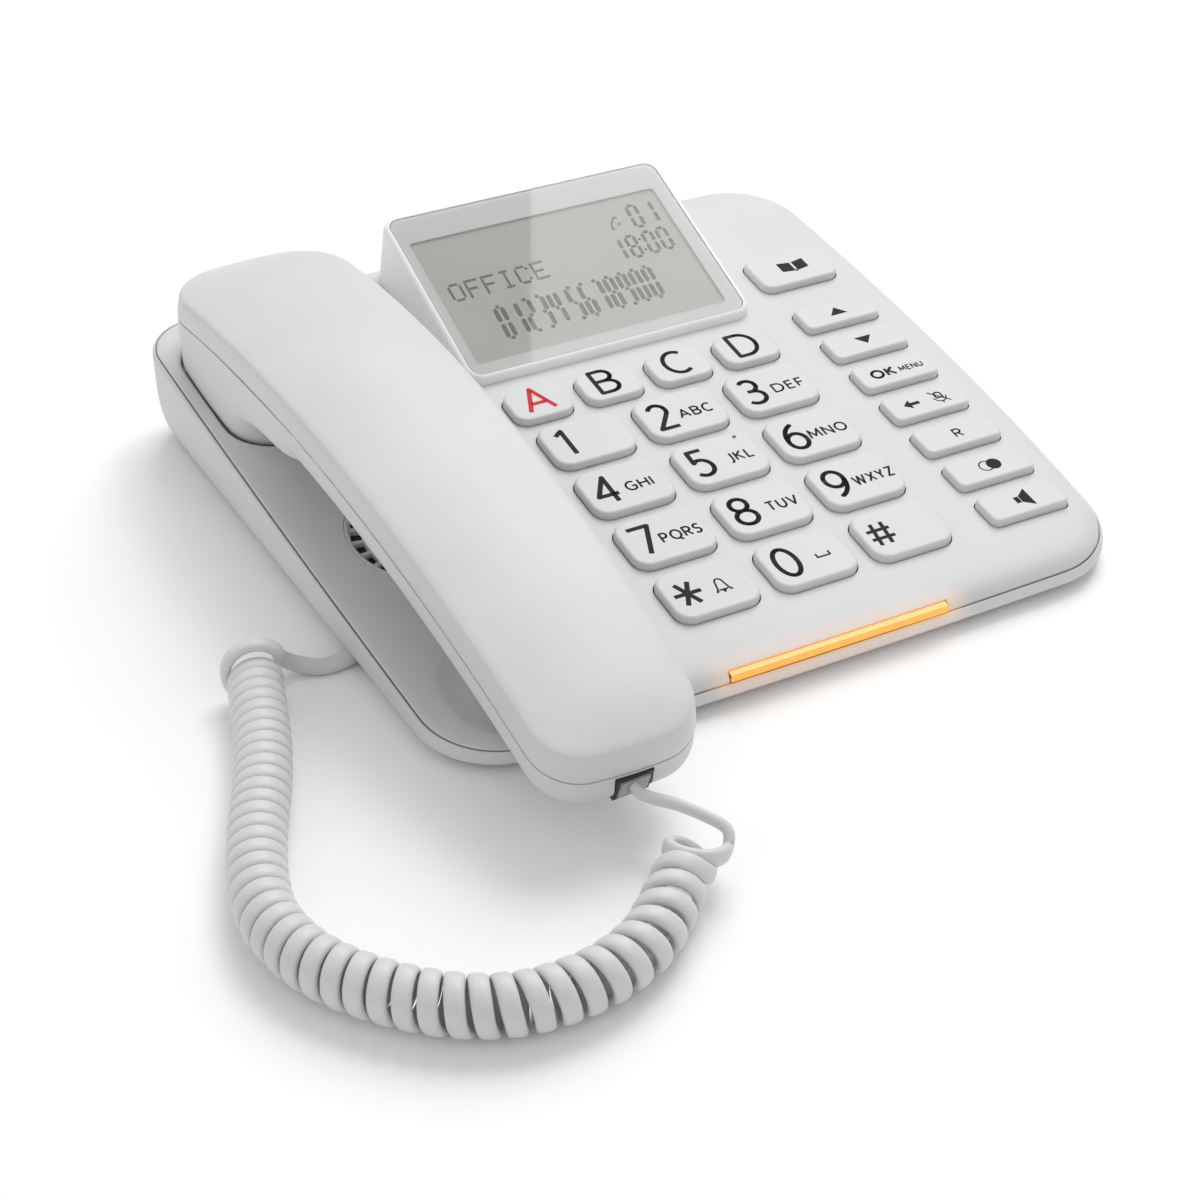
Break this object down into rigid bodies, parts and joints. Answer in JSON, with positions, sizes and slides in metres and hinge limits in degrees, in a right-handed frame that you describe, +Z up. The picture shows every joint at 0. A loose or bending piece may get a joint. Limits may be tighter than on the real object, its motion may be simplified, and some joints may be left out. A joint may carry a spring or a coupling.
{
  "type": "corded desk telephone",
  "caption": "Corded desk telephone with large number keys, a tilted display, an amber front light, and a handset on the left joined by a curly cord.",
  "frame": {"origin": "middle of the footprint of the phone without its cord, on the table surface", "axes": "+Z up, +X to the user's right, +Y away from the user, towards the display"},
  "size_m": [0.2561, 0.2683, 0.0543],
  "materials": {
    "housing_white": "satin, very fine texture",
    "key_white": "satin",
    "light_amber": "lit from behind, frosted",
    "lens_clear": "clear, polished",
    "lcd_grey": "reflective liquid crystal panel",
    "board_green": "solder mask",
    "steel": "zinc plated",
    "dark_plastic": "moulded",
    "rubber_dark": "soft, matt",
    "mat_grey": "silicone",
    "hook_white": "satin",
    "cord_white": "soft vinyl, slight sheen",
    "plug_clear": "clear polycarbonate"
  },
  "bodies": {
    "base": {"base_lower_shell": "housing_white", "base_upper_cover": "housing_white", "display_housing": "housing_white", "display_lens": "lens_clear", "lcd_panel": "lcd_grey", "display_board": "board_green", "light_bar": "light_amber", "light_board": "board_green", "speaker_grille": "housing_white", "loudspeaker": "dark_plastic", "keypad_mat": "mat_grey", "function_key_mat": "mat_grey", "main_board": "board_green", "base_socket": "dark_plastic", "line_socket": "dark_plastic", "rubber_feet": "rubber_dark", "case_screws": "steel", "board_screws": "steel", "hook_switch": "dark_plastic", "base_weight": "steel", "lead_base": "cord_white", "cord_coil": "cord_white", "lead_handset": "cord_white", "plug_base": "plug_clear"},
    "handset": {"handset_upper_shell": "housing_white", "handset_lower_shell": "housing_white", "earpiece": "dark_plastic", "microphone": "steel", "handset_weight": "steel", "handset_socket": "dark_plastic", "handset_screws": "steel", "plug_handset": "plug_clear"},
    "hook_button": {"hook_plunger": "hook_white"},
    "key_1_body": {"key_1": "key_white"},
    "key_2_body": {"key_2": "key_white"},
    "key_3_body": {"key_3": "key_white"},
    "key_4_body": {"key_4": "key_white"},
    "key_5_body": {"key_5": "key_white"},
    "key_6_body": {"key_6": "key_white"},
    "key_7_body": {"key_7": "key_white"},
    "key_8_body": {"key_8": "key_white"},
    "key_9_body": {"key_9": "key_white"},
    "key_star_body": {"key_star": "key_white"},
    "key_0_body": {"key_0": "key_white"},
    "key_hash_body": {"key_hash": "key_white"},
    "key_a_body": {"key_a": "key_white"},
    "key_b_body": {"key_b": "key_white"},
    "key_c_body": {"key_c": "key_white"},
    "key_d_body": {"key_d": "key_white"},
    "key_book_body": {"key_book": "key_white"},
    "key_up_body": {"key_up": "key_white"},
    "key_down_body": {"key_down": "key_white"},
    "key_menu_body": {"key_menu": "key_white"},
    "key_back_body": {"key_back": "key_white"},
    "key_recall_body": {"key_recall": "key_white"},
    "key_redial_body": {"key_redial": "key_white"},
    "key_speaker_body": {"key_speaker": "key_white"}
  },
  "joints": [
    {"name": "handset_lift", "type": "slide", "parent": "base", "child": "handset", "axis": [0, -0.1219, 0.9925], "range_m": [0, 0.06]},
    {"name": "hook_rise", "type": "slide", "parent": "base", "child": "hook_button", "axis": [0, -0.1219, 0.9925], "range_m": [0, 0.003]},
    {"name": "press_key_1", "type": "slide", "parent": "base", "child": "key_1_body", "axis": [0, 0.1219, -0.9925], "range_m": [0, 0.0012], "stiffness_N_per_m": 400, "springref_m": -0.0004},
    {"name": "press_key_2", "type": "slide", "parent": "base", "child": "key_2_body", "axis": [0, 0.1219, -0.9925], "range_m": [0, 0.0012], "stiffness_N_per_m": 400, "springref_m": -0.0004},
    {"name": "press_key_3", "type": "slide", "parent": "base", "child": "key_3_body", "axis": [0, 0.1219, -0.9925], "range_m": [0, 0.0012], "stiffness_N_per_m": 400, "springref_m": -0.0004},
    {"name": "press_key_4", "type": "slide", "parent": "base", "child": "key_4_body", "axis": [0, 0.1219, -0.9925], "range_m": [0, 0.0012], "stiffness_N_per_m": 400, "springref_m": -0.0004},
    {"name": "press_key_5", "type": "slide", "parent": "base", "child": "key_5_body", "axis": [0, 0.1219, -0.9925], "range_m": [0, 0.0012], "stiffness_N_per_m": 400, "springref_m": -0.0004},
    {"name": "press_key_6", "type": "slide", "parent": "base", "child": "key_6_body", "axis": [0, 0.1219, -0.9925], "range_m": [0, 0.0012], "stiffness_N_per_m": 400, "springref_m": -0.0004},
    {"name": "press_key_7", "type": "slide", "parent": "base", "child": "key_7_body", "axis": [0, 0.1219, -0.9925], "range_m": [0, 0.0012], "stiffness_N_per_m": 400, "springref_m": -0.0004},
    {"name": "press_key_8", "type": "slide", "parent": "base", "child": "key_8_body", "axis": [0, 0.1219, -0.9925], "range_m": [0, 0.0012], "stiffness_N_per_m": 400, "springref_m": -0.0004},
    {"name": "press_key_9", "type": "slide", "parent": "base", "child": "key_9_body", "axis": [0, 0.1219, -0.9925], "range_m": [0, 0.0012], "stiffness_N_per_m": 400, "springref_m": -0.0004},
    {"name": "press_key_star", "type": "slide", "parent": "base", "child": "key_star_body", "axis": [0, 0.1219, -0.9925], "range_m": [0, 0.0012], "stiffness_N_per_m": 400, "springref_m": -0.0004},
    {"name": "press_key_0", "type": "slide", "parent": "base", "child": "key_0_body", "axis": [0, 0.1219, -0.9925], "range_m": [0, 0.0012], "stiffness_N_per_m": 400, "springref_m": -0.0004},
    {"name": "press_key_hash", "type": "slide", "parent": "base", "child": "key_hash_body", "axis": [0, 0.1219, -0.9925], "range_m": [0, 0.0012], "stiffness_N_per_m": 400, "springref_m": -0.0004},
    {"name": "press_key_a", "type": "slide", "parent": "base", "child": "key_a_body", "axis": [0, 0.1219, -0.9925], "range_m": [0, 0.0012], "stiffness_N_per_m": 400, "springref_m": -0.0004},
    {"name": "press_key_b", "type": "slide", "parent": "base", "child": "key_b_body", "axis": [0, 0.1219, -0.9925], "range_m": [0, 0.0012], "stiffness_N_per_m": 400, "springref_m": -0.0004},
    {"name": "press_key_c", "type": "slide", "parent": "base", "child": "key_c_body", "axis": [0, 0.1219, -0.9925], "range_m": [0, 0.0012], "stiffness_N_per_m": 400, "springref_m": -0.0004},
    {"name": "press_key_d", "type": "slide", "parent": "base", "child": "key_d_body", "axis": [0, 0.1219, -0.9925], "range_m": [0, 0.0012], "stiffness_N_per_m": 400, "springref_m": -0.0004},
    {"name": "press_key_book", "type": "slide", "parent": "base", "child": "key_book_body", "axis": [0, 0.1219, -0.9925], "range_m": [0, 0.0012], "stiffness_N_per_m": 400, "springref_m": -0.0004},
    {"name": "press_key_up", "type": "slide", "parent": "base", "child": "key_up_body", "axis": [0, 0.1219, -0.9925], "range_m": [0, 0.0012], "stiffness_N_per_m": 400, "springref_m": -0.0004},
    {"name": "press_key_down", "type": "slide", "parent": "base", "child": "key_down_body", "axis": [0, 0.1219, -0.9925], "range_m": [0, 0.0012], "stiffness_N_per_m": 400, "springref_m": -0.0004},
    {"name": "press_key_menu", "type": "slide", "parent": "base", "child": "key_menu_body", "axis": [0, 0.1219, -0.9925], "range_m": [0, 0.0012], "stiffness_N_per_m": 400, "springref_m": -0.0004},
    {"name": "press_key_back", "type": "slide", "parent": "base", "child": "key_back_body", "axis": [0, 0.1219, -0.9925], "range_m": [0, 0.0012], "stiffness_N_per_m": 400, "springref_m": -0.0004},
    {"name": "press_key_recall", "type": "slide", "parent": "base", "child": "key_recall_body", "axis": [0, 0.1219, -0.9925], "range_m": [0, 0.0012], "stiffness_N_per_m": 400, "springref_m": -0.0004},
    {"name": "press_key_redial", "type": "slide", "parent": "base", "child": "key_redial_body", "axis": [0, 0.1219, -0.9925], "range_m": [0, 0.0012], "stiffness_N_per_m": 400, "springref_m": -0.0004},
    {"name": "press_key_speaker", "type": "slide", "parent": "base", "child": "key_speaker_body", "axis": [0, 0.1219, -0.9925], "range_m": [0, 0.0012], "stiffness_N_per_m": 400, "springref_m": -0.0004}
  ],
  "couplings": [
    {"joint": "hook_rise", "follows": "handset_lift", "ratio": 0.05}
  ]
}
